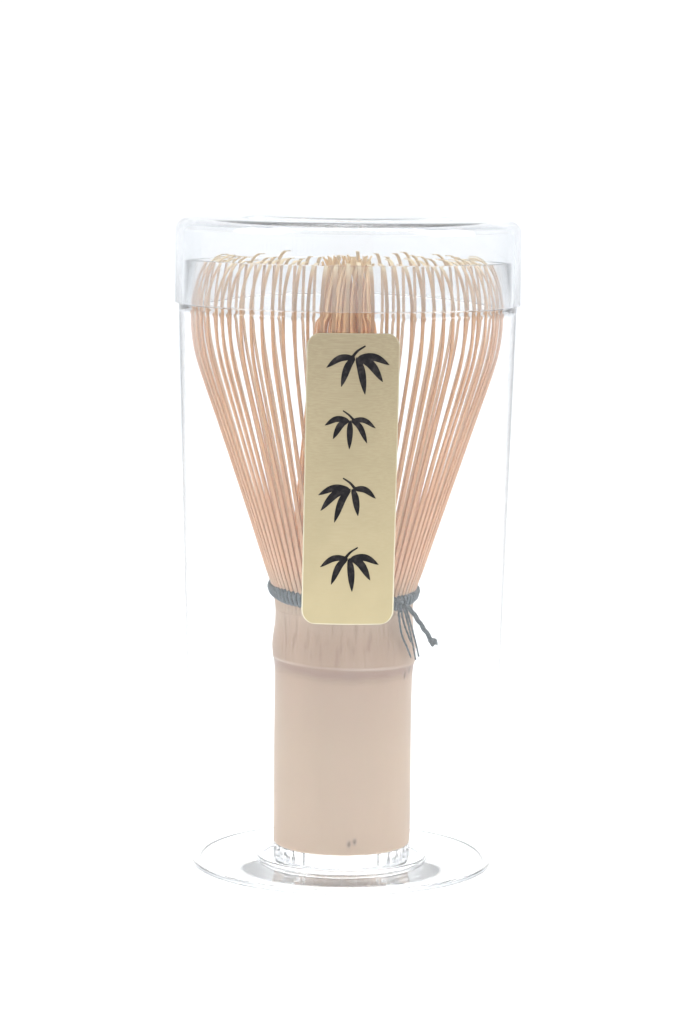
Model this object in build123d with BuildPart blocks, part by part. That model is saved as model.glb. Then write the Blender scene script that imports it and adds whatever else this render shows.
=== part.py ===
from build123d import *
import os
from math import cos, radians, sin

# A bamboo tea whisk that stands, tines up, in its clear two-part case.
# Millimetres, +Z up. The origin is the centre of the case's underside.

# ---- case: cup ----
foot_radius = 27.6
shoulder_radius = 30.35
shoulder_height = 102.0
wall = 1.3
floor_thickness = 0.9
foot_round = 0.7
neck_radius = 29.3
neck_bore_radius = 28.7
neck_top = 110.0
neck_ramp = 1.2

# ---- case: ribbed seat on the floor that the whisk's handle stands on, inside a low ring ----
seat_radius = 12.2
seat_bore_radius = 9.6
seat_height = 2.8
rib_count = 32
rib_width = 0.5
rib_depth = 0.3
ring_radius = 15.5
ring_wall = 1.1
ring_height = 0.7

# ---- case: lid ----
lid_radius = 31.0
lid_bore_radius = 29.65
lid_bottom = shoulder_height + 0.1
lid_top = 117.7
lid_plate = 1.1
lid_round = 2.6
crown_radius = 18.0
crown_rise = 0.5

# ---- label on the front of the cup ----
label_width = 16.1
label_offset = 0.9
label_lean = -0.6
label_bottom = 48.3
label_top = 98.5
label_thickness = 0.12
label_corner = 2.4

# ---- whisk: handle, a length of bamboo culm with one node ----
handle_bottom = floor_thickness + seat_height
handle_radius = 12.5
waist_flare = 0.1
culm_bore_radius = 9.0
node_height = 37.4
node_radius = 13.2
node_edge_radius = 12.95
node_half_height = 1.0
straight_top = 27.0
diaphragm_thickness = 3.0
split_height = 46.6
handle_round = 0.8

# ---- whisk: tines, split from the culm above the handle ----
group_count = 16
tines_per_group = 5
tine_pitch = 360 / (group_count * tines_per_group)
outer_tine_width = 0.72
outer_root_depth = 1.3
bulge_radius = 28.3
bulge_height = 99.4
bulge_thickness = 0.4
tine_top = 110.9
tip_radius = 24.2
tip_thickness = 0.2
inner_tine_arc = 3.4
inner_root_radius = 10.7
inner_root_depth = 1.6
inner_tip_radius = 1.7
inner_tip_thickness = 0.3
inner_tine_top = 109.4

# ---- whisk: binding thread ----
thread_radius = 0.3
thread_pitch = 0.56
thread_turns = 4
thread_start = 48.7
thread_start_radius = 13.3
thread_flare = 0.31
inner_thread_turns = 3
inner_thread_radius = 11.25
knot_radius = 1.2
knot_place = (10.4, -11.1, 48.9)
tail_radius = 0.25
tail_bend = 6.0
twisted_tail_radius = 0.45
tail_knot_radius = 0.8

# The loose thread ends: the points that each one hangs along, from the knot downwards.
tail_routes = [
    [(9.5, -10.9, 47.2), (10.3, -9.6, 43.5), (12.1, -7.2, 38.9)],
    [(10.0, -10.2, 47.0), (10.9, -9.4, 44.8), (12.0, -8.4, 41.9)],
    [(10.9, -10.9, 47.4), (12.1, -9.9, 43.4), (12.9, -8.3, 38.6)],
    [(11.3, -9.9, 47.2), (12.6, -7.9, 42.5), (13.5, -6.4, 38.9)],
]
twisted_tail_route = [(11.9, -11.0, 48.0), (13.8, -10.6, 45.4), (15.2, -10.2, 42.1)]


def cup_radius(height):
    """Radius of the cup's tapered outside at a height."""
    return foot_radius + (shoulder_radius - foot_radius) * height / shoulder_height


def upright_plane(angle):
    """Plane through the Z axis with its own x axis pointing outwards at an angle."""
    turn = radians(angle)
    return Plane(origin=(0, 0, 0), x_dir=(cos(turn), sin(turn), 0), z_dir=(sin(turn), -cos(turn), 0))


def save(piece, name):
    """Name a finished sub-part and write it to its own STEP file."""
    piece.part.label = name
    export_step(piece.part, f"parts/{name}.step")


os.makedirs("parts", exist_ok=True)

# ---- case cup: floor, tapered wall, shoulder and neck in one moulding ----
with BuildPart() as case_cup:
    with BuildSketch(Plane.XZ):
        with BuildLine():
            Polyline(
                (0, 0),
                (foot_radius, 0),
                (shoulder_radius, shoulder_height),
                (neck_radius, shoulder_height),
                (neck_radius, neck_top),
                (neck_bore_radius, neck_top),
                (neck_bore_radius, shoulder_height),
                (cup_radius(shoulder_height - neck_ramp) - wall, shoulder_height - neck_ramp),
                (cup_radius(floor_thickness) - wall, floor_thickness),
                (0, floor_thickness),
                close=True,
            )
        make_face()
    revolve(axis=Axis.Z)
    fillet(case_cup.edges().group_by(Axis.Z)[0], foot_round)
    with BuildSketch(Plane.XY.offset(floor_thickness)):
        Circle(ring_radius)
        Circle(ring_radius - ring_wall, mode=Mode.SUBTRACT)
    extrude(amount=ring_height)
    with BuildSketch(Plane.XY.offset(floor_thickness)):
        Circle(seat_radius)
        with PolarLocations(seat_radius, rib_count):
            Rectangle(2 * rib_depth, rib_width)
        Circle(seat_bore_radius, mode=Mode.SUBTRACT)
    extrude(amount=seat_height)
save(case_cup, "case_cup")

# ---- case lid: a shallow push-on cap with a raised round crown ----
rim_top = lid_top - crown_rise
with BuildPart() as case_lid:
    with BuildSketch(Plane.XZ):
        with BuildLine():
            Polyline(
                (0, lid_top),
                (crown_radius, lid_top),
                (crown_radius + crown_rise, rim_top),
                (lid_radius, rim_top),
                (lid_radius, lid_bottom),
                (lid_bore_radius, lid_bottom),
                (lid_bore_radius, rim_top - lid_plate),
                (crown_radius, rim_top - lid_plate),
                (crown_radius - crown_rise, lid_top - lid_plate),
                (0, lid_top - lid_plate),
                close=True,
            )
        make_face()
    revolve(axis=Axis.Z)
    rim_circles = case_lid.edges().filter_by(GeomType.CIRCLE).group_by(SortBy.RADIUS)[-1]
    fillet(rim_circles.sort_by(Axis.Z)[-1], lid_round)
save(case_lid, "case_lid")

# ---- label: a thin foil with round corners, stuck on the cup's front ----
label_middle = (label_bottom + label_top) / 2
with BuildPart() as label:
    with BuildSketch(Plane.XZ):
        with BuildLine():
            Polyline(
                (cup_radius(0), 0),
                (cup_radius(0) + label_thickness, 0),
                (cup_radius(shoulder_height) + label_thickness, shoulder_height),
                (cup_radius(shoulder_height), shoulder_height),
                close=True,
            )
        make_face()
    revolve(axis=Axis.Z)
    with BuildSketch(Plane.XZ.offset(foot_radius / 2)):
        with Locations((label_offset, label_middle)):
            RectangleRounded(label_width, label_top - label_bottom, label_corner, rotation=label_lean)
    extrude(amount=foot_radius, mode=Mode.INTERSECT)
save(label, "label")

# ---- handle: bamboo culm, hollow below its node, split into tines above ----
with BuildPart() as handle:
    with BuildSketch(Plane.XZ):
        with BuildLine():
            Line((0, handle_bottom), (handle_radius, handle_bottom))
            Line((handle_radius, handle_bottom), (handle_radius + waist_flare, straight_top))
            Line(
                (handle_radius + waist_flare, straight_top),
                (node_edge_radius, node_height - node_half_height),
            )
            ThreePointArc(
                (node_edge_radius, node_height - node_half_height),
                (node_radius, node_height),
                (node_edge_radius, node_height + node_half_height),
            )
            ThreePointArc(
                (node_edge_radius, node_height + node_half_height),
                (node_edge_radius, node_height + 4 * node_half_height),
                (handle_radius, split_height),
            )
            Line((handle_radius, split_height), (0, split_height))
            Line((0, split_height), (0, handle_bottom))
        make_face()
    revolve(axis=Axis.Z)
    fillet(handle.edges().group_by(Axis.Z)[0], handle_round)
    with BuildSketch(Plane.XY.offset(handle_bottom)):
        Circle(culm_bore_radius)
    extrude(amount=node_height - diaphragm_thickness / 2 - handle_bottom, mode=Mode.SUBTRACT)
    with BuildSketch(Plane.XY.offset(split_height)):
        Circle(culm_bore_radius)
    extrude(amount=node_height + diaphragm_thickness / 2 - split_height, mode=Mode.SUBTRACT)
save(handle, "handle")


# ---- side outline of an outer tine: it flares from the culm, bulges, and hooks inwards at its tip ----
with BuildSketch(Plane.XZ) as outer_tine_outline:
    with BuildLine():
        Line((handle_radius, split_height), (12.7, 48.2))
        ThreePointArc((12.7, 48.2), (13.4, 51.0), (14.5, 54.0))
        Line((14.5, 54.0), (26.6, 89.5))
        ThreePointArc((26.6, 89.5), (bulge_radius, bulge_height), (tip_radius, tine_top))
        Line((tip_radius, tine_top), (tip_radius - tip_thickness, tine_top - tip_thickness))
        ThreePointArc(
            (tip_radius - tip_thickness, tine_top - tip_thickness),
            (bulge_radius - bulge_thickness, bulge_height),
            (26.2, 89.8),
        )
        Line((26.2, 89.8), (13.9, 54.2))
        Line((13.9, 54.2), (12.2, 49.4))
        Line((12.2, 49.4), (handle_radius - outer_root_depth, split_height))
        Line((handle_radius - outer_root_depth, split_height), (handle_radius, split_height))
    make_face()

# ---- side outline of an inner tine: it leans in to the middle and closes over at its tip ----
with BuildSketch(Plane.XZ) as inner_tine_outline:
    with BuildLine():
        Polyline(
            (inner_root_radius, split_height),
            (10.2, 52.0),
            (6.1, 96.0),
            (4.2, 105.5),
            (inner_tip_radius, inner_tine_top),
            (inner_tip_radius, inner_tine_top - inner_tip_thickness),
            (3.9, 105.2),
            (5.7, 95.8),
            (9.5, 52.0),
            (inner_root_radius - inner_root_depth, split_height),
            close=True,
        )
    make_face()

# ---- tines: the culm is split in sixteen, and each part into five outer and five inner tines ----
for group in range(group_count):
    first_tine = group * tines_per_group
    with BuildPart() as outer_tines:
        for tine in range(tines_per_group):
            with BuildSketch(upright_plane((first_tine + tine) * tine_pitch)):
                add(outer_tine_outline.sketch_local)
            extrude(amount=outer_tine_width / 2, both=True)
    save(outer_tines, f"outer_tines_{group + 1:02d}")
    with BuildPart() as inner_tines:
        for tine in range(tines_per_group):
            with BuildSketch(upright_plane((first_tine + tine) * tine_pitch)):
                add(inner_tine_outline.sketch_local)
            revolve(axis=Axis.Z, revolution_arc=inner_tine_arc)
    save(inner_tines, f"inner_tines_{group + 1:02d}")

# ---- binding thread: turns over the outer tines, and turns between the outer and inner tines ----
with BuildPart() as binding_thread_outer:
    with BuildSketch(Plane.XZ):
        for turn in range(thread_turns):
            rise = turn * thread_pitch
            with Locations((thread_start_radius + thread_flare * rise, thread_start + rise)):
                Circle(thread_radius)
    revolve(axis=Axis.Z)
save(binding_thread_outer, "binding_thread_outer")

with BuildPart() as binding_thread_inner:
    with BuildSketch(Plane.XZ):
        for turn in range(inner_thread_turns):
            with Locations((inner_thread_radius, thread_start + turn * thread_pitch)):
                Circle(thread_radius)
    revolve(axis=Axis.Z)
save(binding_thread_inner, "binding_thread_inner")

# ---- knot and loose thread ends, hanging in front of the handle ----
with BuildPart() as thread_knot:
    with Locations(knot_place):
        Sphere(knot_radius)
save(thread_knot, "thread_knot")

for number, route in enumerate(tail_routes, start=1):
    with BuildPart() as thread_tail:
        with BuildLine() as tail_path:
            FilletPolyline(*route, radius=tail_bend)
        with BuildSketch(Plane(origin=tail_path.line @ 0, z_dir=tail_path.line % 0)):
            Circle(tail_radius)
        sweep(path=tail_path.line)
    save(thread_tail, f"thread_tail_{number}")

with BuildPart() as thread_tail_twisted:
    with BuildLine() as twisted_path:
        FilletPolyline(*twisted_tail_route, radius=tail_bend)
    with BuildSketch(Plane(origin=twisted_path.line @ 0, z_dir=twisted_path.line % 0)):
        Circle(twisted_tail_radius)
    sweep(path=twisted_path.line)
    with Locations(twisted_tail_route[-1]):
        Sphere(tail_knot_radius)
save(thread_tail_twisted, "thread_tail_twisted")
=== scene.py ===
import math
import random

import bmesh
import bpy
import numpy as np
from mathutils import Matrix, Vector


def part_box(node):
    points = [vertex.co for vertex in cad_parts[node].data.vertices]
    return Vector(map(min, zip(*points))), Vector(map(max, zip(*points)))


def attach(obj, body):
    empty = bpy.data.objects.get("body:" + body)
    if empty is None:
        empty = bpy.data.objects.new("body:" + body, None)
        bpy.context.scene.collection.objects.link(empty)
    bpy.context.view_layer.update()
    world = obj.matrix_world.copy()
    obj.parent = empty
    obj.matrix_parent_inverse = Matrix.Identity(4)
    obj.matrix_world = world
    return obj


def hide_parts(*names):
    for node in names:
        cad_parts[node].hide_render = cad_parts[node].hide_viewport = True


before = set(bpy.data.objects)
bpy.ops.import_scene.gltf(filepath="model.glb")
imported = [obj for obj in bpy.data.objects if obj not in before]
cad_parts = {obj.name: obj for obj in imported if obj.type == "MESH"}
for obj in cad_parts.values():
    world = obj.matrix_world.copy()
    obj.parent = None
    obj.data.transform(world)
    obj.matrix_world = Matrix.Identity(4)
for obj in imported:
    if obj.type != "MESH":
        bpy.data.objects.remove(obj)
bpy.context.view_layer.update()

# A bamboo tea whisk in its clear case. Blender's unit is the metre. Points and sizes of the pieces are in
# millimetres and become metres in make_piece; the studio, the lights and the materials' depths are in metres.
MM = 0.001
draw = random.Random(80)

# ---- places and sizes that come from the frame ----
handle_low, handle_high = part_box("handle")
cup_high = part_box("case_cup")[1]
lid_low, lid_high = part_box("case_lid")
label_low, label_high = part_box("label")

HANDLE_BOTTOM = handle_low.z / MM
SPLIT_HEIGHT = handle_high.z / MM
SHOULDER_RADIUS = cup_high.x / MM
NECK_TOP = cup_high.z / MM
LID_RADIUS = lid_high.x / MM
LID_BOTTOM = lid_low.z / MM
LID_TOP = lid_high.z / MM
LABEL_BOTTOM = label_low.z / MM
LABEL_TOP = label_high.z / MM

# ---- driving dimensions in millimetres, as the CAD has them ----
FOOT_RADIUS = 27.6
SHOULDER_HEIGHT = 102.0
CUP_WALL = 1.3
FLOOR_THICKNESS = 0.9
NECK_RADIUS = 29.3
NECK_BORE = 28.7
SEAT_RADIUS = 12.2
SEAT_BORE = 9.6
SEAT_RIBS = 32
RIB_DEPTH = 0.3
RING_RADIUS = 15.5
RING_WALL = 1.1
RING_TOP = 1.6
LID_BORE = 29.65
LID_PLATE = 1.1
CROWN_RADIUS = 18.0
CROWN_RISE = 0.5
HANDLE_RADIUS = 12.5
CULM_BORE = 9.0  # a radius, as the other bores are
NODE_HEIGHT = 37.4
GROUPS = 16
TINES_PER_GROUP = 5
TINES = GROUPS * TINES_PER_GROUP


# ---------------------------------------------------------------- geometry helpers

CURVE_STEPS = 24  # steps between two given points, before they are spaced evenly


def smooth_path(points, count):
    """count points, evenly spaced along a Catmull-Rom curve through the given points."""
    p = np.array(points, float)
    p = np.vstack([2 * p[0] - p[1], p, 2 * p[-1] - p[-2]])
    dense = []
    for i in range(1, len(p) - 2):
        for t in np.linspace(0, 1, CURVE_STEPS, endpoint=False):
            a = 2 * p[i]
            b = p[i + 1] - p[i - 1]
            c = 2 * p[i - 1] - 5 * p[i] + 4 * p[i + 1] - p[i + 2]
            d = -p[i - 1] + 3 * p[i] - 3 * p[i + 1] + p[i + 2]
            dense.append(0.5 * (a + b * t + c * t**2 + d * t**3))
    dense.append(p[-2])
    dense = np.array(dense)
    run = np.concatenate([[0], np.cumsum(np.linalg.norm(np.diff(dense, axis=0), axis=1))])
    at = np.linspace(0, run[-1], count)
    return np.column_stack([np.interp(at, run, dense[:, k]) for k in range(dense.shape[1])])


def make_piece(name, vertices, faces, material, body, stands_for=(), finish=None, smooth=True):
    """A mesh object from points in millimetres, riding on its CAD body."""
    mesh = bpy.data.meshes.new(name)
    mesh.from_pydata([tuple(c * MM for c in v) for v in vertices], [], faces)
    shape = bmesh.new()
    shape.from_mesh(mesh)
    bmesh.ops.recalc_face_normals(shape, faces=shape.faces)
    shape.to_mesh(mesh)
    shape.free()
    mesh.polygons.foreach_set("use_smooth", [smooth] * len(mesh.polygons))
    mesh.materials.append(material)
    piece = bpy.data.objects.new(name, mesh)
    bpy.context.scene.collection.objects.link(piece)
    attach(piece, body)
    if stands_for:
        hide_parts(*stands_for)
    return piece


def clamp(value):
    """The value, but not below 0 or above 1."""
    return min(1.0, max(0.0, value))


def give_attribute(piece, name, values):
    """Stores one number for each vertex, for the material to read."""
    layer = piece.data.attributes.new(name, "FLOAT", "POINT")
    layer.data.foreach_set("value", values)


def turned(profile, steps, ripple):
    """Points of an outline of (radius, height), turned step by step about the Z axis."""
    vertices = []
    for step in range(steps):
        turn = 2 * math.pi * step / steps
        for radius, height in profile:
            if ripple:
                radius, height = ripple(radius, height, turn)
            vertices.append((radius * math.cos(turn), radius * math.sin(turn), height))
    return vertices


def lathe(profile, steps, ripple=None):
    """Vertices and faces of a closed outline turned about the Z axis."""
    vertices = turned(profile, steps, ripple)
    faces = []
    count = len(profile)
    for step in range(steps):
        here = step * count
        there = (step + 1) % steps * count
        for k in range(count):
            after = (k + 1) % count
            faces.append((here + k, there + k, there + after, here + after))
    return vertices, faces


def pole_lathe(profile, steps, ripple=None):
    """A lathe for an outline that starts and ends on the axis: the two end points become single poles."""
    middle = profile[1:-1]
    count = len(middle)
    vertices = turned(middle, steps, ripple)
    faces = []
    first_pole = len(vertices)
    vertices.append((0, 0, profile[0][1]))
    last_pole = len(vertices)
    vertices.append((0, 0, profile[-1][1]))
    for step in range(steps):
        here = step * count
        there = (step + 1) % steps * count
        faces.append((first_pole, there, here))
        for k in range(count - 1):
            faces.append((here + k, there + k, there + k + 1, here + k + 1))
        faces.append((here + count - 1, there + count - 1, last_pole))
    return vertices, faces


LONGEST_CORNER = 0.49  # share of a side that one corner may take


def rounded(corners, steps=4):
    """An outline from (radius, height, corner radius) points, with each corner turned into a short arc."""
    points = []
    for i, (x, y, corner) in enumerate(corners):
        if corner == 0 or i == 0 or i == len(corners) - 1:
            points.append((x, y))
            continue
        here = Vector((x, y))
        back = Vector(corners[i - 1][:2]) - here
        on = Vector(corners[i + 1][:2]) - here
        reach = min(corner, back.length * LONGEST_CORNER, on.length * LONGEST_CORNER)
        start = here + back.normalized() * reach
        end = here + on.normalized() * reach
        for k in range(steps + 1):
            t = k / steps
            bend = (1 - t) ** 2 * start + 2 * t * (1 - t) * here + t**2 * end
            points.append((bend.x, bend.y))
    return points


ANY_SIDE = (0.31, 0.17, 0.93)  # a direction that no path starts along, to set a tube's first side


def tube(path, radius, sides=10, lobes=0, lobe_depth=0.0, twist=0.0, closed=False, taper=None):
    """Vertices and faces of a tube along points, with a lobed section that twists like plied thread.

    twist is in radians per millimetre, and taper gives the share of the radius at 0 to 1 along the path."""
    path = np.array(path, float)
    count = len(path)
    ahead = np.roll(path, -1, axis=0) - path
    behind = path - np.roll(path, 1, axis=0)
    tangent = ahead + behind
    if not closed:
        tangent[0] = ahead[0]
        tangent[-1] = behind[-1]
    tangent /= np.linalg.norm(tangent, axis=1)[:, None]
    side = np.cross(tangent[0], ANY_SIDE)
    side /= np.linalg.norm(side)
    run = 0.0
    vertices = []
    faces = []
    for i in range(count):
        if i:
            run += float(np.linalg.norm(path[i] - path[i - 1]))
            side = side - tangent[i] * float(np.dot(side, tangent[i]))
            side /= np.linalg.norm(side)
        other = np.cross(tangent[i], side)
        size = radius * (taper(i / (count - 1)) if taper else 1)
        for k in range(sides):
            angle = 2 * math.pi * k / sides
            reach = size * (1 + lobe_depth * math.cos(lobes * angle - twist * run))
            outwards = math.cos(angle) * side + math.sin(angle) * other
            vertices.append(tuple(path[i] + reach * outwards))
    last = count if closed else count - 1
    for i in range(last):
        here = i * sides
        there = (i + 1) % count * sides
        for k in range(sides):
            after = (k + 1) % sides
            faces.append((here + k, here + after, there + after, there + k))
    if not closed:
        faces.append(tuple(range(sides))[::-1])
        faces.append(tuple(range((count - 1) * sides, count * sides)))
    return vertices, faces


def trefoil(size, depth, steps):
    """Offsets round a closed trefoil knot that lies across the Y axis."""
    offsets = []
    for step in range(steps):
        t = 2 * math.pi * step / steps
        x = size * (math.sin(t) + 2 * math.sin(2 * t))
        y = -depth * math.sin(3 * t)
        z = size * (math.cos(t) - 2 * math.cos(2 * t))
        offsets.append(Vector((x, y, z)))
    return offsets


def joined(shapes):
    """Several (vertices, faces) shapes as one."""
    vertices = []
    faces = []
    for some_vertices, some_faces in shapes:
        start = len(vertices)
        vertices += [tuple(v) for v in some_vertices]
        faces += [tuple(start + k for k in face) for face in some_faces]
    return vertices, faces


# ---------------------------------------------------------------- materials

# The Mix node's sockets for colours go by number, because several of its sockets share a name.
MIX_FACTOR = 0
MIX_FIRST = 6
MIX_SECOND = 7
MIX_RESULT = 2


class Nodes:
    """A short way to build a node material. Texture scales are per metre."""

    def __init__(self, name):
        self.material = bpy.data.materials.new(name)
        self.material.use_nodes = True
        self.tree = self.material.node_tree
        self.tree.nodes.clear()
        self.shader = self.add("ShaderNodeBsdfPrincipled")
        out = self.add("ShaderNodeOutputMaterial")
        self.link(self.shader.outputs["BSDF"], out.inputs["Surface"])

    def add(self, kind, **settings):
        """A new node, with each setting put on the node itself or on its input of that name."""
        node = self.tree.nodes.new(kind)
        for key, value in settings.items():
            if hasattr(node, key):
                setattr(node, key, value)
            else:
                node.inputs[key.replace("_", " ")].default_value = value
        return node

    def link(self, out, into):
        self.tree.links.new(out, into)

    def set(self, **values):
        """Puts constants on the shader's own inputs."""
        for key, value in values.items():
            self.shader.inputs[key.replace("_", " ")].default_value = value

    def place(self, scale):
        """Object coordinates stretched by (x, y, z)."""
        where = self.add("ShaderNodeTexCoord")
        mapping = self.add("ShaderNodeMapping")
        mapping.inputs["Scale"].default_value = scale
        self.link(where.outputs["Object"], mapping.inputs["Vector"])
        return mapping.outputs["Vector"]

    def height(self):
        """The object's own Z coordinate, in metres."""
        where = self.add("ShaderNodeTexCoord")
        split = self.add("ShaderNodeSeparateXYZ")
        self.link(where.outputs["Object"], split.inputs["Vector"])
        return split.outputs["Z"]

    def noise(self, vector, scale, detail=3.0, roughness=0.5):
        node = self.add("ShaderNodeTexNoise")
        node.inputs["Scale"].default_value = scale
        node.inputs["Detail"].default_value = detail
        node.inputs["Roughness"].default_value = roughness
        self.link(vector, node.inputs["Vector"])
        return node.outputs["Fac"]

    def attribute(self, name):
        return self.add("ShaderNodeAttribute", attribute_name=name).outputs["Fac"]

    def ramp(self, fac, stops):
        """A colour ramp from (position, colour) stops."""
        node = self.add("ShaderNodeValToRGB")
        ramp = node.color_ramp
        while len(ramp.elements) < len(stops):
            ramp.elements.new(0.5)
        for element, (position, colour) in zip(ramp.elements, stops):
            element.position = position
            element.color = (*colour, 1)
        self.link(fac, node.inputs["Fac"])
        return node.outputs["Color"]

    def mix(self, fac, a, b, blend="MIX"):
        node = self.add("ShaderNodeMix", data_type="RGBA", blend_type=blend)
        for value, number in ((fac, MIX_FACTOR), (a, MIX_FIRST), (b, MIX_SECOND)):
            socket = node.inputs[number]
            if isinstance(value, (int, float)):
                socket.default_value = value
            elif isinstance(value, tuple):
                socket.default_value = (*value, 1)
            else:
                self.link(value, socket)
        return node.outputs[MIX_RESULT]

    def range(self, value, low, high, to_low=0.0, to_high=1.0):
        """Maps low to high onto to_low to to_high, and clamps outside it."""
        node = self.add("ShaderNodeMapRange")
        ends = {"From Min": low, "From Max": high, "To Min": to_low, "To Max": to_high}
        for key, number in ends.items():
            node.inputs[key].default_value = number
        self.link(value, node.inputs["Value"])
        return node.outputs["Result"]

    def bump(self, height, strength, distance):
        node = self.add("ShaderNodeBump")
        node.inputs["Strength"].default_value = strength
        node.inputs["Distance"].default_value = distance
        self.link(height, node.inputs["Height"])
        self.link(node.outputs["Normal"], self.shader.inputs["Normal"])


def tine_bamboo(name, root, low, body, pale, tip, deep, pith):
    """Split bamboo: fibres along the tine, a tone of its own for each tine, pith inside and a paler tip.

    root to tip are the colours upwards, deep is mixed in by the tone, and pith is the inner face. pale, just
    below the tip, is partly the tine's own paler top and partly painted light that makes up for the shade
    under the lid."""
    m = Nodes(name)
    fibres = m.noise(m.place((1, 1, 0.04)), 4200, 4, 0.6)
    blotches = m.noise(m.place((1, 1, 0.5)), 160, 2)
    run = m.attribute("run")
    # The pale stop is partly the tine's own paler top and partly painted light that makes up for the shade
    # under the lid.
    stops = [(0.0, root), (0.05, root), (0.14, low), (0.5, body), (0.8, body), (0.87, pale)]
    along = m.ramp(run, stops)
    darker = m.mix(m.range(m.attribute("tone"), 0, 1, 0.0, 0.5), along, deep)
    streaked = m.mix(m.range(fibres, 0.35, 0.7, 0.0, 0.3), darker, (0.93, 0.64, 0.38))
    patched = m.mix(m.range(blotches, 0.45, 0.75, 0.0, 0.2), streaked, (0.86, 0.45, 0.28))
    rooted = m.mix(m.range(run, 0.015, 0.07), root, patched)
    inside = m.mix(m.range(m.attribute("pith"), 0.5, 1.0), rooted, pith)
    tipped = m.mix(m.range(run, 0.92, 0.96, 0.0, 0.9), inside, tip)
    m.link(tipped, m.shader.inputs["Base Color"])
    m.link(m.range(fibres, 0.3, 0.7, 0.42, 0.62), m.shader.inputs["Roughness"])
    m.set(Specular_IOR_Level=0.35)
    m.bump(fibres, 0.3, 0.00005)
    return m.material


def culm_bamboo():
    """Dried bamboo skin: upright streaks, a darker band under the node, stains, scars and a pale line."""
    m = Nodes("culm_bamboo")
    upwards = m.height()
    fibres = m.noise(m.place((1, 1, 0.03)), 2600, 5, 0.65)
    broad = m.noise(m.place((1, 1, 0.12)), 190, 3)
    spots = m.noise(m.place((1, 1, 0.14)), 1100, 3)
    height = m.ramp(
        m.range(upwards, 0.0, 0.050),
        [
            (0.06, (0.62, 0.455, 0.325)),
            (0.16, (0.625, 0.465, 0.335)),
            (0.45, (0.625, 0.47, 0.335)),
            (0.66, (0.58, 0.42, 0.305)),
            (0.78, (0.485, 0.325, 0.225)),
            (0.85, (0.52, 0.355, 0.245)),
            (0.94, (0.60, 0.455, 0.34)),
        ],
    )
    streaked = m.mix(m.range(fibres, 0.4, 0.75, 0.0, 0.35), height, (0.49, 0.335, 0.225))
    tinted = m.mix(m.range(broad, 0.4, 0.7, 0.0, 0.4), streaked, (0.66, 0.475, 0.35))
    under_node = m.mix(m.range(m.attribute("band"), 0, 1, 0.0, 0.75), tinted, (0.37, 0.235, 0.18))
    stained = m.mix(m.range(spots, 0.52, 0.72, 0.0, 0.6), under_node, (0.34, 0.195, 0.125))
    near_node = m.range(upwards, 0.034, 0.041)
    shoulder = m.mix(near_node, under_node, stained)
    speckled = m.mix(m.attribute("scar"), shoulder, (0.16, 0.10, 0.07))
    lined = m.mix(m.range(m.attribute("line"), 0, 1, 0.0, 0.9), speckled, (0.74, 0.62, 0.54))
    m.link(lined, m.shader.inputs["Base Color"])
    m.link(m.range(fibres, 0.3, 0.7, 0.36, 0.5), m.shader.inputs["Roughness"])
    m.set(Specular_IOR_Level=0.4)
    m.bump(fibres, 0.25, 0.00006)
    return m.material


def thread_fibre():
    """Slate-blue twisted cotton with a fine nap, darker where a turn dips between two tines: painted shade.
    """
    m = Nodes("binding_thread")
    fuzz = m.noise(m.place((1, 1, 1)), 5200, 4, 0.7)
    wear = m.noise(m.place((1, 1, 1)), 700, 2)
    colour = m.ramp(fuzz, [(0.3, (0.055, 0.08, 0.095)), (0.7, (0.23, 0.28, 0.305))])
    worn = m.mix(m.range(wear, 0.45, 0.7, 0.0, 0.5), colour, (0.30, 0.335, 0.355))
    # The dip attribute mixes in near-black; on the binding it is painted shade where a turn dips between two
    # tines.
    m.link(m.mix(m.attribute("dip"), worn, (0.012, 0.02, 0.026)), m.shader.inputs["Base Color"])
    m.set(Roughness=0.85, Sheen_Weight=0.35, Sheen_Roughness=0.5, Specular_IOR_Level=0.2)
    m.bump(fuzz, 0.6, 0.00008)
    return m.material


def clear_plastic(name, tint, clearness, waviness):
    """Clear moulded polystyrene: smooth, faintly wavy, and hazy by the share that clearness leaves out."""
    m = Nodes(name)
    wave = m.noise(m.place((1, 1, 0.4)), 55, 1)
    haze = m.noise(m.place((1, 1, 1)), 240, 3)
    m.link(m.ramp(haze, [(0.3, tint), (0.7, (0.985, 0.99, 0.992))]), m.shader.inputs["Base Color"])
    m.set(Transmission_Weight=clearness, IOR=1.46, Specular_IOR_Level=0.5)
    m.link(m.range(haze, 0.3, 0.8, 0.0, 0.03), m.shader.inputs["Roughness"])
    m.bump(wave, waviness, 0.0002)
    return m.material


def gold_foil():
    """Brushed gold foil, olive at the top and paler towards its foot, with a light cut edge."""
    m = Nodes("gold_foil")
    grain = m.noise(m.place((0.06, 1, 1)), 5000, 3, 0.6)
    cloud = m.noise(m.place((1, 1, 1)), 110, 3)
    height = m.ramp(
        m.range(m.height(), LABEL_BOTTOM * MM, LABEL_TOP * MM),
        [(0.0, (0.55, 0.46, 0.27)), (0.4, (0.45, 0.37, 0.225)), (1.0, (0.325, 0.262, 0.165))],
    )
    grained = m.mix(m.range(grain, 0.35, 0.7, 0.0, 0.3), height, (0.55, 0.49, 0.31))
    clouded = m.mix(m.range(cloud, 0.4, 0.7, 0.0, 0.18), grained, (0.27, 0.23, 0.13))
    edged = m.mix(m.attribute("edge"), clouded, (0.78, 0.74, 0.58))
    m.link(edged, m.shader.inputs["Base Color"])
    m.link(m.range(grain, 0.3, 0.7, 0.36, 0.5), m.shader.inputs["Roughness"])
    m.set(Metallic=0.25, Specular_IOR_Level=0.5)
    m.bump(grain, 0.15, 0.00003)
    return m.material


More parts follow.
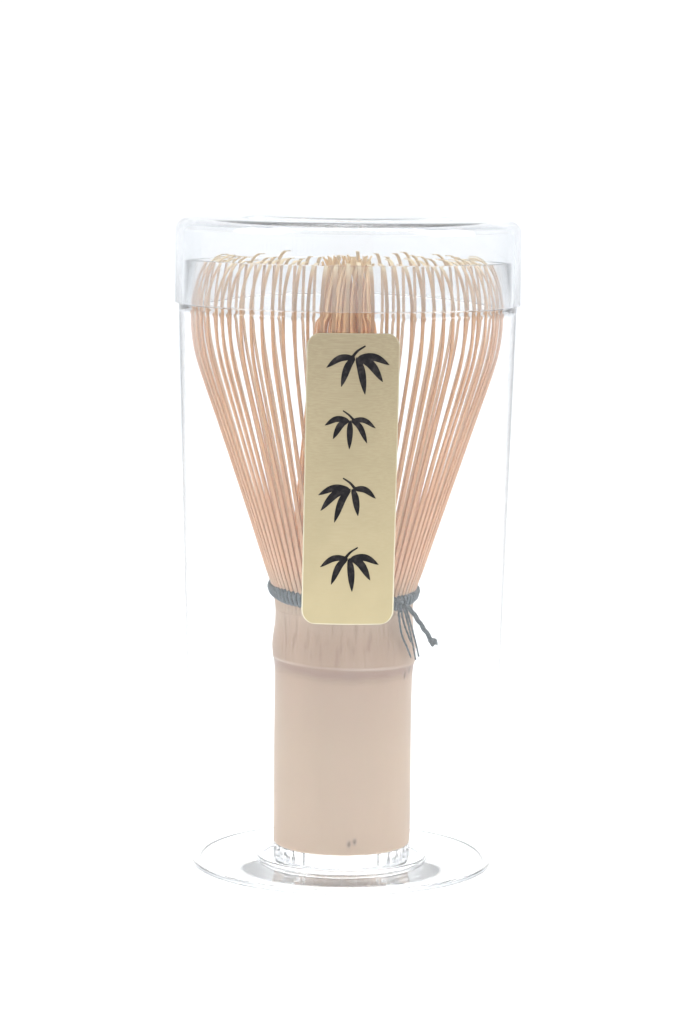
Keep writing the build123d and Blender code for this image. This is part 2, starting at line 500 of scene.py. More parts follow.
def brush_ink():
    """Black brush ink, a little thinner where the brush ran dry."""
    m = Nodes("brush_ink")
    dry = m.noise(m.place((0.35, 1, 0.35)), 2600, 4, 0.7)
    colour = m.ramp(dry, [(0.45, (0.012, 0.011, 0.013)), (0.8, (0.06, 0.052, 0.05))])
    m.link(colour, m.shader.inputs["Base Color"])
    m.link(m.range(dry, 0.3, 0.8, 0.55, 0.8), m.shader.inputs["Roughness"])
    m.set(Specular_IOR_Level=0.12)
    m.bump(dry, 0.2, 0.00002)
    return m.material


PAPER_GLOW_REACH = 0.12  # metres from the origin over which the glow falls off
PAPER_GLOW = [(0.14, 1.0), (0.19, 0.75), (0.26, 0.2), (1.0, 0.07)]  # (share of that reach, share of the glow)
PAPER_GLOW_STRENGTH = 2


def paper_white():
    """The studio's seamless white paper. It glows round the object's foot, and faintly further away."""
    m = Nodes("studio_paper")
    fine = m.noise(m.place((1, 1, 1)), 30, 2)
    colour = m.ramp(fine, [(0.3, (0.93, 0.93, 0.93)), (0.7, (0.95, 0.95, 0.95))])
    m.link(colour, m.shader.inputs["Base Color"])
    where = m.add("ShaderNodeTexCoord")
    distance = m.add("ShaderNodeVectorMath", operation="LENGTH")
    m.link(where.outputs["Object"], distance.inputs[0])
    stops = [(position, (share, share, share)) for position, share in PAPER_GLOW]
    near = m.ramp(m.range(distance.outputs["Value"], 0, PAPER_GLOW_REACH), stops)
    m.link(m.range(near, 0, 1, 0, PAPER_GLOW_STRENGTH), m.shader.inputs["Emission Strength"])
    m.set(Roughness=0.9, Specular_IOR_Level=0.1, Emission_Color=(1, 1, 1, 1))
    return m.material


outer_bamboo = tine_bamboo(
    "outer_tine_bamboo",
    root=(0.57, 0.425, 0.315),
    low=(0.84, 0.50, 0.33),
    body=(0.84, 0.44, 0.215),
    # pale: partly the real paler top, partly painted light that makes up for the shade under the lid
    pale=(1.0, 0.66, 0.36),
    tip=(0.99, 0.84, 0.56),
    deep=(0.66, 0.29, 0.12),
    pith=(0.93, 0.72, 0.52),
)
# Brighter and more orange than the outer tines: partly the inner tines' own colour, partly painted light that
# makes up for the shade inside the bundle.
inner_bamboo = tine_bamboo(
    "inner_tine_bamboo",
    root=(0.60, 0.36, 0.22),
    low=(0.95, 0.52, 0.27),
    body=(1.0, 0.60, 0.29),
    pale=(1.0, 0.72, 0.40),
    tip=(1.0, 0.76, 0.44),
    deep=(0.74, 0.28, 0.10),
    pith=(0.95, 0.58, 0.30),
)
culm = culm_bamboo()
thread = thread_fibre()
cup_plastic = clear_plastic("clear_plastic_cup", (0.97, 0.98, 0.985), 0.975, 0.02)
lid_plastic = clear_plastic("clear_plastic_lid", (0.975, 0.983, 0.988), 0.945, 0.12)
foil = gold_foil()
ink = brush_ink()


# ---------------------------------------------------------------- whisk: tines

# A tine's section as (share of its width, share of its depth), from one edge over the skin and back inside.
SECTION = [(-0.5, 0.0), (-0.38, 0.1), (0.38, 0.1), (0.5, 0.0), (0.44, -1.0), (-0.44, -1.0)]
SECTION_PITH = [0, 0, 0, 0, 1, 1]  # 1 where the section's point is on the inner face
SIDES = len(SECTION)


def strip(path, angle, sway, widths, depths):
    """A flat strip along (radius, height) points in an upright plane at an angle, swaying sideways."""
    out = np.array((math.cos(angle), math.sin(angle), 0))
    across = np.array((-math.sin(angle), math.cos(angle), 0))
    up = np.array((0, 0, 1.0))
    slope = np.gradient(path, axis=0)
    slope /= np.linalg.norm(slope, axis=1)[:, None]
    vertices = []
    stations = zip(path, slope, sway, widths, depths)
    for (radius, height), (along_r, along_z), side, width, depth in stations:
        middle = radius * out + height * up + side * across
        normal = along_z * out - along_r * up
        for t, n in SECTION:
            vertices.append(tuple(middle + t * width * across + n * depth * normal))
    faces = []
    for i in range(len(path) - 1):
        here = i * SIDES
        there = here + SIDES
        for k in range(SIDES):
            after = (k + 1) % SIDES
            faces.append((here + k, here + after, there + after, there + k))
    faces.append(tuple(range(SIDES))[::-1])
    end = (len(path) - 1) * SIDES
    faces.append(tuple(end + k for k in range(SIDES)))
    return vertices, faces


def tine_group(name, node, shapes, tones, stations, material, finish):
    """One node's five tines as one piece, each with a tone, a run from root to tip, and pith inside."""
    vertices, faces = joined(shapes)
    piece = make_piece(name, vertices, faces, material, "whisk", [node], finish, smooth=False)
    ring = np.repeat(np.linspace(0, 1, stations), SIDES)
    give_attribute(piece, "run", np.tile(ring, len(shapes)))
    give_attribute(piece, "tone", np.repeat(tones, stations * SIDES))
    give_attribute(piece, "pith", np.tile(SECTION_PITH, len(shapes) * stations))


OUTER_STATIONS = 56
SPREAD_FROM = 52  # the pull on a tine grows from this height, over this length
SPREAD_OVER = 40
TOP_FROM = 92  # and the lift of its tip from here
TOP_OVER = 18
TAPER_LENGTH = 0.012  # share of a tine's run over which the slit beside it opens
OUTER_LINE = [  # (radius, height) of the middle of a tine's skin
    (12.4, SPLIT_HEIGHT), (12.62, 48.2), (13.3, 51.0), (14.4, 54.0), (17.45, 63.0), (20.5, 72.0),
    (23.55, 81.0), (25.95, 88.0), (27.3, 92.5), (28.0, 96.6), (28.15, 100.4), (27.85, 103.9),
    (26.95, 107.0), (25.75, 109.1), (24.5, 110.2), (23.3, 110.6), (22.2, 110.6),
]


def outer_tine(number):
    """One outer tine: straight from the binding, then a bulge and a curled, shaved tip."""
    lift = draw.uniform(-0.9, 0.5)
    pull = draw.uniform(-0.35, 0.2)
    line = []
    for radius, height in OUTER_LINE:
        grown = clamp((height - SPREAD_FROM) / SPREAD_OVER)
        top = max(0.0, (height - TOP_FROM) / TOP_OVER)
        line.append((radius + pull * grown, height + lift * top))
    path = smooth_path(line, OUTER_STATIONS)
    run = np.linspace(0, 1, OUTER_STATIONS)
    lean = draw.gauss(0, 0.16)
    curl = draw.gauss(0, 0.16)
    leaning = np.clip((run - 0.15) / 0.6, 0, 1)
    curling = np.clip((run - 0.82) / 0.18, 0, 1)
    sway = lean * leaning + curl * curling**2
    slit = draw.uniform(0.003, 0.02)
    places = [0, slit, slit + TAPER_LENGTH, 0.15, 0.35, 0.55, 0.75, 0.88, 1]
    widths = np.interp(run, places, [1, 0.99, 0.86, 0.82, 0.7, 0.6, 0.54, 0.6, 0.72])
    widths = widths * np.where(run > slit + TAPER_LENGTH, draw.uniform(0.92, 1.06), 1)
    depths = np.interp(run, [0, 0.05, 0.2, 0.75, 0.88, 1], [1.1, 0.7, 0.45, 0.32, 0.2, 0.12])
    return strip(path, math.radians(number * 360 / TINES), sway, widths, depths)


INNER_STATIONS = 44
SHRINK_FROM = 50  # the bundle draws in from this height, over this length
SHRINK_OVER = 45
INNER_TOP_FROM = 98
INNER_TOP_OVER = 12
INNER_SHIFT = 0.4  # share of the angle between two outer tines by which the inner ones are turned
INNER_LINE = [
    (10.55, SPLIT_HEIGHT), (10.15, 52.0), (9.1, 64.0), (7.9, 78.0), (6.7, 90.0), (5.7, 98.0),
    (4.7, 103.8), (4.0, 107.4), (3.6, 109.6), (3.5, 110.9),
]


def inner_tine(number):
    """One inner tine: it leans in to the middle bundle, and its tip curls round with the others."""
    shrink = draw.uniform(0.35, 1.0) ** 0.6
    lift = draw.uniform(-1.3, 0.1)
    line = []
    for radius, height in INNER_LINE:
        grown = clamp((height - SHRINK_FROM) / SHRINK_OVER)
        top = max(0.0, (height - INNER_TOP_FROM) / INNER_TOP_OVER)
        line.append((radius * (1 + (shrink - 1) * grown), height + lift * top))
    path = smooth_path(line, INNER_STATIONS)
    run = np.linspace(0, 1, INNER_STATIONS)
    swirl = draw.uniform(1.2, 3.6)
    sway = draw.gauss(0, 0.25) * run + swirl * np.clip((run - 0.86) / 0.14, 0, 1) ** 1.8
    widths = np.interp(run, [0, 0.1, 0.6, 0.85, 1], [0.62, 0.6, 0.5, 0.46, 0.36])
    depths = np.interp(run, [0, 0.1, 0.8, 1], [0.8, 0.5, 0.3, 0.16])
    return strip(path, math.radians((number + INNER_SHIFT) * 360 / TINES), sway, widths, depths)


for group in range(GROUPS):
    numbers = range(group * TINES_PER_GROUP, (group + 1) * TINES_PER_GROUP)
    tones = [draw.random() for _ in numbers]
    outer = [outer_tine(number) for number in numbers]
    tag = f"{group + 1:02d}"
    tine_group(
        f"outer_tines_look_{tag}", f"outer_tines_{tag}", outer, tones,
        OUTER_STATIONS, outer_bamboo, "outer_tine_bamboo",
    )
    inner = [inner_tine(number) for number in numbers]
    tine_group(
        f"inner_tines_look_{tag}", f"inner_tines_{tag}", inner, tones,
        INNER_STATIONS, inner_bamboo, "inner_tine_bamboo",
    )


# ---------------------------------------------------------------- whisk: handle

SKIN_START = 5.1
SKIN_LENGTH = SPLIT_HEIGHT - 5.2  # the skin's fine steps end just below the split
SKIN_STEPS = 179
HANDLE_SIDES = 320
SCARS = [(-1.46, 5.9), (-1.38, 6.3), (-0.35, 36.1), (-0.5, 35.4)]  # (turn in radians, height)
SCAR_WIDTH = 0.3
SCAR_HEIGHT = 0.55
LINE_HEIGHT = 0.17


NODE_LIFT = 0.22
NODE_TILT = 0.42

# What the node lifts out of the skin: (how far out, how far above the node's line, reach).
NODE_SHAPE = [
    (0.6, 1.8, 3.2),  # a broad bulge
    (0.13, 0.0, 0.28),  # the fine ring
    (-0.05, -1.1, 0.7),  # a shallow groove below it
]


def node_line(turn):
    """Height of the node's ring round the culm: it isn't quite level."""
    return NODE_HEIGHT + NODE_LIFT - NODE_TILT * math.cos(turn)


def culm_surface(radius, height, turn):
    """The culm's slightly uneven skin, which bulges over the node and has a fine ring with a groove below."""
    if radius < CULM_BORE + 0.5:
        return radius, height
    lift = 0.05 * math.sin(3 * turn + 0.5) + 0.035 * math.sin(7 * turn + height * 0.2)
    for out, above, reach in NODE_SHAPE:
        lift += out * math.exp(-(((height - node_line(turn) - above) / reach) ** 2))
    edge = min(1.0, (height - HANDLE_BOTTOM) / 2) * min(1.0, (SPLIT_HEIGHT - height) / 2)
    return radius + lift * edge, height


def make_handle():
    """The culm: foot, skin and the node's diaphragm, with the line, band and scars for the material."""
    wall = [(CULM_BORE, HANDLE_BOTTOM, 0.4), (HANDLE_RADIUS, HANDLE_BOTTOM, 0.9)]
    outline = rounded([(CULM_BORE, 12, 0)] + wall + [(HANDLE_RADIUS, 5, 0)], 5)
    for step in range(SKIN_STEPS + 1):
        outline.append((HANDLE_RADIUS, SKIN_START + SKIN_LENGTH * step / SKIN_STEPS))
    outline += [
        (HANDLE_RADIUS - 0.05, SPLIT_HEIGHT),
        (CULM_BORE, SPLIT_HEIGHT),
        (CULM_BORE - 0.05, NODE_HEIGHT + 2),
        (0.02, NODE_HEIGHT + 1.5),
        (0.02, NODE_HEIGHT - 1.5),
        (CULM_BORE - 0.3, NODE_HEIGHT - 1.9),
    ]
    vertices, faces = lathe(outline, HANDLE_SIDES, culm_surface)
    piece = make_piece("handle_culm", vertices, faces, culm, "whisk", ["handle"], "culm_bamboo")
    line_values = []
    band_values = []
    scar_values = []
    for x, y, z in vertices:
        turn = math.atan2(y, x)
        below = node_line(turn) - z
        outside = 1.0 if math.hypot(x, y) > CULM_BORE + 1 else 0.0
        line = outside * math.exp(-((below / LINE_HEIGHT) ** 2))
        line_values.append(line * (0.55 + 0.3 * math.sin(4 * turn)))
        fade = 2.1 + 0.25 * math.sin(3 * turn) + 0.1 * math.sin(13 * turn + 1)
        start = clamp(below / 0.4)
        band_values.append(outside * start * clamp((fade + 0.9 - below) / 1.8))
        scar = 0.0
        for scar_turn, scar_height in SCARS:
            aside = (turn - scar_turn) * HANDLE_RADIUS / SCAR_WIDTH
            above = (z - scar_height) / SCAR_HEIGHT
            scar = max(scar, math.exp(-(aside**2) - above**2))
        scar_values.append(outside * scar)
    give_attribute(piece, "line", line_values)
    give_attribute(piece, "band", band_values)
    give_attribute(piece, "scar", scar_values)


make_handle()


# ---------------------------------------------------------------- whisk: binding thread, knot and ends

THREAD_RADIUS = 0.27
THREAD_PITCH = 0.45
THREAD_START = math.pi / 3  # the winding starts this far before the X axis, near the knot
STEPS_PER_TINE = 8
PLY_TWIST = 4.5
OVER = {"turns": 5, "base_radius": 13.2, "bump": 0.3, "slope": 0.31}
UNDER = {"turns": 3, "base_radius": 11.2, "bump": 0.1, "slope": 0.0}
BASE_HEIGHT = 49.5  # where a turn lies at its base radius
# DIP_SHADE: how much painted shade darkens the thread between two tines.
DIP_SHADE = 0.8
KNOT_SHADE = 0.3
END_SHADE = 0.45
TWISTED_SHADE = 0.35


def thread_middle(turn):
    """Height of the middle of the binding round the whisk: lowest at the front."""
    return 49.75 + 0.75 * math.sin(turn) - 0.25 * math.cos(turn)


def binding(name, node, turns, base_radius, bump, slope):
    """The wound thread: each turn rides over the tines and dips between them."""
    path = []
    steps = TINES * STEPS_PER_TINE
    for step in range(int(turns * steps) + 1):
        turn = 2 * math.pi * step / steps - THREAD_START
        weave = math.cos(TINES * turn)
        spread = (0.95 - 0.38 * weave + 0.1 * math.sin(7 * turn)) * (0.88 - 0.17 * math.sin(turn))
        rise = (step / steps - turns / 2) * THREAD_PITCH * spread
        height = thread_middle(turn) + rise
        radius = base_radius + slope * (height - BASE_HEIGHT) + bump * weave
        path.append((radius * math.cos(turn), radius * math.sin(turn), height))
    vertices, faces = tube(path, THREAD_RADIUS, 8, 2, 0.16, PLY_TWIST)
    piece = make_piece(name, vertices, faces, thread, "whisk", [node], "binding_thread")
    # Painted shade: the thread is darkened where it dips between two tines.
    between = [max(0.0, -math.cos(TINES * math.atan2(y, x))) for x, y, _ in vertices]
    give_attribute(piece, "dip", [depth**2 * DIP_SHADE for depth in between])


binding("binding_thread_over", "binding_thread_outer", **OVER)
binding("binding_thread_under", "binding_thread_inner", **UNDER)

knot_low, knot_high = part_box("thread_knot")
KNOT = (knot_low + knot_high) / 2 / MM


KNOT_SIZE = 0.36
KNOT_DEPTH = 0.34
KNOT_THREAD_RADIUS = 0.34
KNOT_INSET = 0.55  # how far inside the middle of the CAD's knot it sits


def make_knot():
    """The tied knot, which faces outwards where the turns of thread meet."""
    face_out = Matrix.Rotation(math.atan2(KNOT.x, -KNOT.y), 3, "Z")
    inwards = Vector((-KNOT.x, -KNOT.y, 0)).normalized() * KNOT_INSET
    path = [tuple(KNOT + inwards + face_out @ p) for p in trefoil(KNOT_SIZE, KNOT_DEPTH, 96)]
    shape = tube(path, KNOT_THREAD_RADIUS, 10, 2, 0.14, PLY_TWIST, closed=True)
    piece = make_piece("thread_knot_tied", *shape, thread, "whisk", ["thread_knot"], "binding_thread")
    give_attribute(piece, "dip", [KNOT_SHADE] * len(shape[0]))


make_knot()

TAILS = [
    [(9.7, -10.3, 48.2), (9.75, -10.7, 47.0), (10.3, -9.6, 43.5), (11.3, -8.4, 41.0), (12.1, -7.3, 38.9)],
    [(10.2, -10.1, 48.3), (10.3, -10.1, 47.0), (10.9, -9.5, 44.8), (11.5, -9.0, 43.2), (12.0, -8.6, 41.9)],
    [(10.6, -10.9, 48.3), (10.95, -10.8, 47.2), (11.8, -10.1, 43.9), (12.4, -9.4, 41.2), (12.9, -8.5, 38.7)],
    [(10.9, -10.0, 48.4), (11.4, -9.7, 47.0), (12.3, -8.6, 43.8), (13.0, -7.6, 41.2), (13.5, -6.6, 39.0)],
]
TWISTED_TAIL = [
    (10.9, -10.9, 48.9), (11.9, -11.0, 48.0), (13.1, -10.8, 46.3), (14.35, -10.5, 44.45), (15.8, -10.2, 42.3),
]
TAIL_RADIUS = 0.2
TWISTED_RADIUS = 0.37
END_KNOT_SIZE = 0.2
END_KNOT_THREAD_RADIUS = 0.26
FRAY_COUNT = 7
FRAY_RADIUS = 0.09


def make_tails():
    """Four thin thread ends, and a thick twisted one that ends in a small knot with frayed fibres."""
    for number, route in enumerate(TAILS, start=1):
        path = smooth_path(route, 60)
        shape = tube(path, TAIL_RADIUS, 8, 2, 0.2, 6.0, taper=lambda t: 1 - 0.25 * t)
        piece = make_piece(
            f"thread_end_{number}", *shape, thread, "whisk", [f"thread_tail_{number}"], "binding_thread"
        )
        give_attribute(piece, "dip", [END_SHADE] * len(shape[0]))
    path = smooth_path(TWISTED_TAIL, 80)
    shapes = [tube(path, TWISTED_RADIUS, 12, 3, 0.3, 3.2)]
    end = Vector(TWISTED_TAIL[-1])
    end_knot = [tuple(end + offset) for offset in trefoil(END_KNOT_SIZE, END_KNOT_SIZE, 72)]
    shapes.append(tube(end_knot, END_KNOT_THREAD_RADIUS, 8, 2, 0.2, 5.0, closed=True))
    for _ in range(FRAY_COUNT):
        reach = Vector((draw.uniform(0.2, 1.1), draw.uniform(-0.35, 0.35), draw.uniform(-0.9, 0.1)))
        fray = smooth_path([tuple(end), tuple(end + reach * 0.6), tuple(end + reach)], 8)
        shapes.append(tube(fray, FRAY_RADIUS, 5, taper=lambda t: 1 - 0.6 * t))
    vertices, faces = joined(shapes)
    piece = make_piece(
        "thread_end_twisted", vertices, faces, thread, "whisk", ["thread_tail_twisted"], "binding_thread"
    )
    give_attribute(piece, "dip", [TWISTED_SHADE] * len(vertices))


make_tails()


# ---------------------------------------------------------------- case: cup, lid and label

def cup_radius(height):
    """Radius of the cup's tapered outside."""
    return FOOT_RADIUS + (SHOULDER_RADIUS - FOOT_RADIUS) * height / SHOULDER_HEIGHT


def seat_ribs(radius, height, turn):
    """Small upright ribs round the outside of the seat that the handle stands on."""
    on_seat_wall = abs(radius - SEAT_RADIUS) < 0.01
    if on_seat_wall:
        radius += RIB_DEPTH * max(0.0, math.cos(SEAT_RIBS * turn)) ** 2
    return radius, height


CUP_SIDES = 384
LID_SIDES = 256
INNER_SHOULDER = 1.2  # how far below the outer shoulder the inside starts to narrow


def make_cup():
    """The cup in one outline: foot, wall, shoulder, neck, and inside it the floor's ring and the seat."""
    ramp_height = SHOULDER_HEIGHT - INNER_SHOULDER
    outline = rounded([
        (0, 0, 0),
        (FOOT_RADIUS, 0, 0.7),
        (SHOULDER_RADIUS, SHOULDER_HEIGHT, 0.15),
        (NECK_RADIUS, SHOULDER_HEIGHT, 0.08),
        (NECK_RADIUS, NECK_TOP, 0.2),
        (NECK_BORE, NECK_TOP, 0.2),
        (NECK_BORE, SHOULDER_HEIGHT, 0.5),
        (cup_radius(ramp_height) - CUP_WALL, ramp_height, 0.5),
        (cup_radius(FLOOR_THICKNESS) - CUP_WALL, FLOOR_THICKNESS, 0.6),
        (RING_RADIUS, FLOOR_THICKNESS, 0.15),
        (RING_RADIUS, RING_TOP, 0.2),
        (RING_RADIUS - RING_WALL, RING_TOP, 0.2),
        (RING_RADIUS - RING_WALL, FLOOR_THICKNESS, 0.15),
        (SEAT_RADIUS, FLOOR_THICKNESS, 0.15),
        (SEAT_RADIUS, HANDLE_BOTTOM, 0.15),
        (SEAT_BORE, HANDLE_BOTTOM, 0.15),
        (SEAT_BORE, FLOOR_THICKNESS, 0.2),
        (0, FLOOR_THICKNESS, 0),
    ])
    vertices, faces = pole_lathe(outline, CUP_SIDES, seat_ribs)
    make_piece("case_cup_clear", vertices, faces, cup_plastic, "case", ["case_cup"], "clear_plastic")


def make_lid():
    """The lid in one outline: raised crown, rounded edge and straight skirt."""
    rim_top = LID_TOP - CROWN_RISE
    outline = rounded([
        (0, LID_TOP, 0),
        (CROWN_RADIUS - 0.6, LID_TOP, 0.7),
        (CROWN_RADIUS + 1.4, rim_top, 0.7),
        (LID_RADIUS, rim_top, 2.6),
        (LID_RADIUS, LID_BOTTOM, 0.15),
        (LID_BORE, LID_BOTTOM, 0.12),
        (LID_BORE, rim_top - LID_PLATE, 1.5),
        (CROWN_RADIUS + 1.0, rim_top - LID_PLATE, 0.7),
        (CROWN_RADIUS - 1.0, LID_TOP - LID_PLATE, 0.7),
        (0, LID_TOP - LID_PLATE, 0),
    ], 6)
    vertices, faces = pole_lathe(outline, LID_SIDES)
    make_piece("case_lid_clear", vertices, faces, lid_plastic, "lid", ["case_lid"], "clear_plastic")


make_cup()
make_lid()

LABEL_WIDTH = 16.1
LABEL_OFFSET = 0.9
LABEL_LEAN = 0.011
LABEL_MIDDLE = (LABEL_BOTTOM + LABEL_TOP) / 2
LABEL_CORNER = 2.4
LABEL_RIM = 0.16
LABEL_FRONT = 0.12  # how far the foil's front and back stand out of the cup's wall
LABEL_BACK = 0.01
LABEL_COLUMNS = 25
CORNER_STEPS = 8
STRAIGHT_STEPS = 30


def on_label(across, height, proud):
    """The point on the cup's front at an arc distance across and a height, along the leaning label."""
    radius = cup_radius(height) + proud
    turn = (across + LABEL_OFFSET + LABEL_LEAN * (height - LABEL_MIDDLE)) / radius
    return (radius * math.sin(turn), -radius * math.cos(turn), height)


def label_rows():
    """The label's (height, inset) rows from its foot to its top: the inset gives the round corners."""
    rows = []
    for k in range(CORNER_STEPS + 1):
        turn = math.pi / 2 * k / CORNER_STEPS
        rows.append((LABEL_BOTTOM + LABEL_CORNER * (1 - math.cos(turn)), LABEL_CORNER * (1 - math.sin(turn))))
    straight = LABEL_TOP - LABEL_BOTTOM - 2 * LABEL_CORNER
    for step in range(1, STRAIGHT_STEPS):
        rows.append((LABEL_BOTTOM + LABEL_CORNER + straight * step / STRAIGHT_STEPS, 0))
    for k in range(CORNER_STEPS + 1):
        turn = math.pi / 2 * k / CORNER_STEPS
        rows.append((LABEL_TOP - LABEL_CORNER * (1 - math.sin(turn)), LABEL_CORNER * (1 - math.cos(turn))))
    return rows


def label_stops(half):
    """Arc distances across one row, with two close together at each side for the cut edge."""
    rim = LABEL_RIM
    columns = LABEL_COLUMNS
    inner = [(-1 + 2 * k / (columns - 5)) * (half - rim * 1.6) for k in range(columns - 4)]
    return [-half, -half + rim] + inner + [half - rim, half]


def make_label():
    """A thin foil that follows the cup, with round corners and a light cut edge."""
    rows = label_rows()
    columns = LABEL_COLUMNS
    vertices = []
    edge = []
    for proud in (LABEL_FRONT, LABEL_BACK):
        for height, inset in rows:
            half = LABEL_WIDTH / 2 - inset
            for across in label_stops(half):
                vertices.append(on_label(across, height, proud))
                near = min(half - abs(across), height - LABEL_BOTTOM, LABEL_TOP - height)
                foot = 1.0 - (height - LABEL_BOTTOM) / (LABEL_TOP - LABEL_BOTTOM)
                edge.append((0.25 + 0.75 * foot**2) if near < LABEL_RIM * 1.05 else 0.0)
    faces = []
    layer = len(rows) * columns
    for i in range(len(rows) - 1):
        for k in range(columns - 1):
            a = i * columns + k
            faces.append((a, a + 1, a + columns + 1, a + columns))
            faces.append((layer + a, layer + a + columns, layer + a + columns + 1, layer + a + 1))
    border = list(range(columns))
    border += [i * columns + columns - 1 for i in range(1, len(rows))]
    border += [(len(rows) - 1) * columns + k for k in range(columns - 2, -1, -1)]
    border += [i * columns for i in range(len(rows) - 2, 0, -1)]
    for a, b in zip(border, border[1:] + border[:1]):
        faces.append((b, a, layer + a, layer + b))
    piece = make_piece("label_foil", vertices, faces, foil, "case", ["label"], "gold_foil")
    give_attribute(piece, "edge", edge)


make_label()


STROKE_STEPS = 21
INK_MIDDLE = 0.15  # how far the ink stands out of the cup's wall
INK_EDGE = 0.135


def brush_stroke(points, width, leaf=True):
    """A stroke of ink through (across, height) points: a leaf comes to a point, a stalk stays even."""
    path = smooth_path(points, STROKE_STEPS + 1)
    slope = np.gradient(path, axis=0)
    slope /= np.linalg.norm(slope, axis=1)[:, None]
    vertices = []
    for i, ((across, height), (du, dv)) in enumerate(zip(path, slope)):
        t = i / STROKE_STEPS
        swell = 2.45 * t**0.55 * (1 - t) ** 0.8 if leaf else 1 - 0.5 * t
        half = width / 2 * max(0.06, swell)
        for side in (1, 0, -1):
            proud = INK_MIDDLE if side == 0 else INK_EDGE
            vertices.append(on_label(across - side * half * dv, height + side * half * du, proud))
    faces = []
    for i in range(STROKE_STEPS):
        for k in range(2):
            a = i * 3 + k
            faces.append((a, a + 1, a + 4, a + 3))
    return vertices, faces


SPRAYS = [  # (across, height, side the stalk leans to, size, tilt)
    (0.4, 92.0, 1, 1.08, 0.0),
    (-0.3, 81.8, -1, 0.86, 0.25),
    (0.2, 69.6, -1, 1.0, -0.2),
    (0.0, 57.6, 1, 1.0, 0.15),
]
# (reach, fall, width) of each leaf in a spray
LEAVES = [(5.4, -1.5, 1.25), (4.4, -4.2, 1.35), (1.6, -6.2, 1.25), (-2.2, -5.0, 1.2), (-4.6, -2.0, 1.1)]


def make_sprig():
    """Four brush-painted sprays of bamboo leaves, one below the other, each on its own short stalk."""
    strokes = []
    for across, height, side, size, tilt in SPRAYS:
        crown = height + 2.6 * size
        foot = (across - side * 0.5, crown - 0.2)
        stalk_top = (across + side * 1.5 * size, crown + 1.5 * size)
        stalk_bend = (across + side * 0.3, crown + 0.7 * size)
        strokes.append(brush_stroke([foot, stalk_bend, stalk_top], 0.5 * size, leaf=False))
        for reach, fall, width in LEAVES:
            reach = (reach + tilt * fall) * side * size
            fall = fall * size
            start = (across + reach * 0.06, crown - 0.35)
            bend = (across + reach * 0.55, crown + fall * 0.42 + 0.35)
            strokes.append(brush_stroke([start, bend, (across + reach, crown + fall)], width * size))
    vertices, faces = joined(strokes)
    make_piece("label_sprig", vertices, faces, ink, "case")


make_sprig()


# ---------------------------------------------------------------- studio: paper, light and camera

# Metres, as everything below.
PAPER_HEIGHT = -0.0003  # just under the case's floor
PAPER_FRONT = -3.0
PAPER_BEND_START = 1.2
PAPER_BEND = 0.8
PAPER_BEND_STEPS = 12
PAPER_TOP = 3.5
PAPER_HALF_WIDTH = 3.5


def make_studio():
    """Seamless white paper: a floor that curves up into a backdrop."""
    profile = [(PAPER_FRONT, PAPER_HEIGHT), (PAPER_BEND_START, PAPER_HEIGHT)]
    for step in range(1, PAPER_BEND_STEPS + 1):
        turn = math.pi / 2 * step / PAPER_BEND_STEPS
        back = PAPER_BEND_START + PAPER_BEND * math.sin(turn)
        profile.append((back, PAPER_HEIGHT + PAPER_BEND * (1 - math.cos(turn))))
    profile.append((PAPER_BEND_START + PAPER_BEND, PAPER_TOP))
    vertices = []
    for x in (-PAPER_HALF_WIDTH, PAPER_HALF_WIDTH):
        vertices += [(x, y, z) for y, z in profile]
    count = len(profile)
    faces = [(k, count + k, count + k + 1, k + 1) for k in range(count - 1)]
    mesh = bpy.data.meshes.new("studio_paper")
    mesh.from_pydata(vertices, [], faces)
    mesh.polygons.foreach_set("use_smooth", [True] * len(mesh.polygons))
    mesh.materials.append(paper_white())
    paper = bpy.data.objects.new("studio_paper", mesh)
    bpy.context.scene.collection.objects.link(paper)


LAMP_COLOUR = (1.0, 0.965, 0.92)


def soft_light(name, place, target, size, power):
    """A square softbox that faces a point, with its size in metres and its power in watts."""
    lamp = bpy.data.lights.new(name, "AREA")
    lamp.shape = "SQUARE"
    lamp.size = size
    lamp.energy = power
    lamp.color = LAMP_COLOUR
    light = bpy.data.objects.new(name, lamp)
    light.location = place
    light.rotation_euler = (Vector(target) - Vector(place)).to_track_quat("-Z", "Y").to_euler()
    bpy.context.scene.collection.objects.link(light)


WHITE = (1, 1, 1, 1)
OVERHEAD = (0.60, 0.67, 0.76, 1)
FRONT = (0.62, 0.645, 0.675, 1)


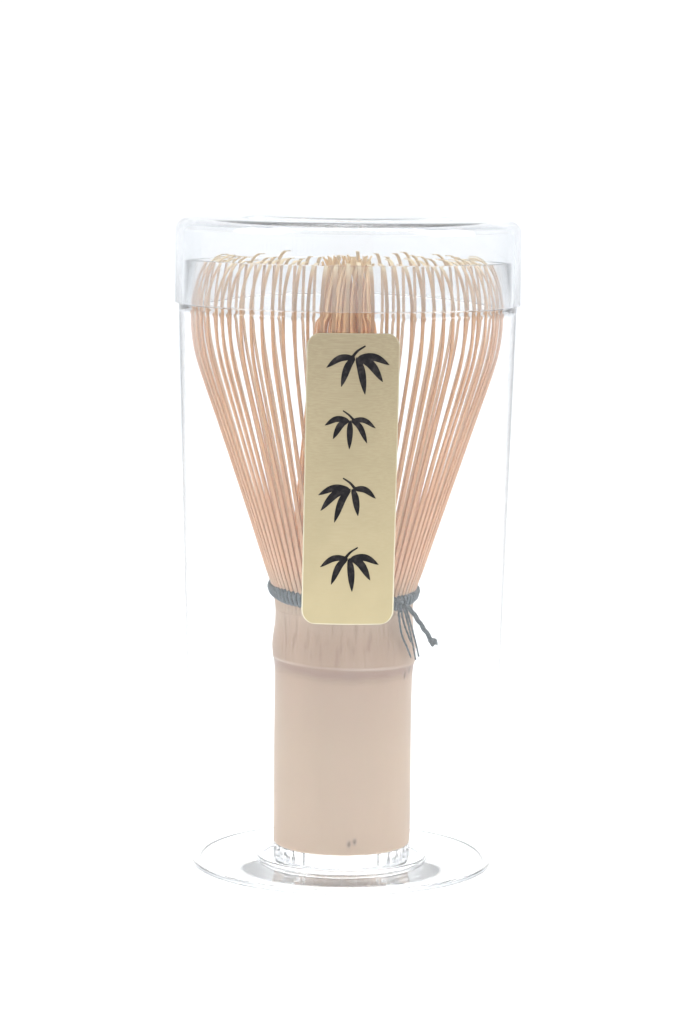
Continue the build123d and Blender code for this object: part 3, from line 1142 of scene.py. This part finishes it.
def make_world():
    """White behind the whisk, cooler overhead and greyer in front, which outlines the clear plastic."""
    world = bpy.data.worlds.new("studio")
    world.use_nodes = True
    tree = world.node_tree
    background = tree.nodes["Background"]
    where = tree.nodes.new("ShaderNodeTexCoord")
    split = tree.nodes.new("ShaderNodeSeparateXYZ")
    overhead = tree.nodes.new("ShaderNodeValToRGB")
    overhead.color_ramp.elements[0].position = 0.12
    overhead.color_ramp.elements[0].color = WHITE
    overhead.color_ramp.elements[1].position = 0.55
    overhead.color_ramp.elements[1].color = OVERHEAD
    depth = tree.nodes.new("ShaderNodeMapRange")
    depth.inputs["From Min"].default_value = -0.9
    depth.inputs["From Max"].default_value = 0.7
    around = tree.nodes.new("ShaderNodeValToRGB")
    around.color_ramp.elements[0].color = FRONT
    around.color_ramp.elements[1].color = WHITE
    both = tree.nodes.new("ShaderNodeMix")
    both.data_type = "RGBA"
    both.blend_type = "MULTIPLY"
    both.inputs[MIX_FACTOR].default_value = 1
    tree.links.new(where.outputs["Generated"], split.inputs["Vector"])
    tree.links.new(split.outputs["Z"], overhead.inputs["Fac"])
    tree.links.new(split.outputs["Y"], depth.inputs["Value"])
    tree.links.new(depth.outputs["Result"], around.inputs["Fac"])
    tree.links.new(overhead.outputs["Color"], both.inputs[MIX_FIRST])
    tree.links.new(around.outputs["Color"], both.inputs[MIX_SECOND])
    tree.links.new(both.outputs[MIX_RESULT], background.inputs["Color"])
    background.inputs["Strength"].default_value = 1.0
    bpy.context.scene.world = world


make_studio()
make_world()
LIGHT_AIM = (0, 0, 0.06)
soft_light("key_left", (-1.1, -0.5, 0.9), LIGHT_AIM, 0.9, 13.5)
soft_light("fill_right", (1.2, -0.3, 0.8), LIGHT_AIM, 0.9, 13.5)
soft_light("top", (0, 0.2, 1.5), LIGHT_AIM, 1.0, 8)
bpy.context.scene.view_settings.view_transform = "Standard"

# Light passes many plastic walls: with fewer bounces the rims turn black.
BOUNCES = 32
bpy.context.scene.cycles.max_bounces = BOUNCES
bpy.context.scene.cycles.glossy_bounces = BOUNCES
bpy.context.scene.cycles.transmission_bounces = BOUNCES

CAMERA_PLACE = (0.00085, -0.558, 0.131)
CAMERA_PITCH = math.radians(-6.73)
CAMERA_ROLL = math.radians(0.7)
CAMERA_LENS = 110.1
camera_data = bpy.data.cameras.new("camera")
camera_data.lens = CAMERA_LENS
camera_data.sensor_width = 36
camera_data.clip_start = 0.01
camera = bpy.data.objects.new("camera", camera_data)
camera.matrix_world = (
    Matrix.Translation(CAMERA_PLACE)
    @ Matrix.Rotation(math.pi / 2 + CAMERA_PITCH, 4, "X")
    @ Matrix.Rotation(CAMERA_ROLL, 4, "Z")
)
bpy.context.scene.collection.objects.link(camera)
bpy.context.scene.camera = camera
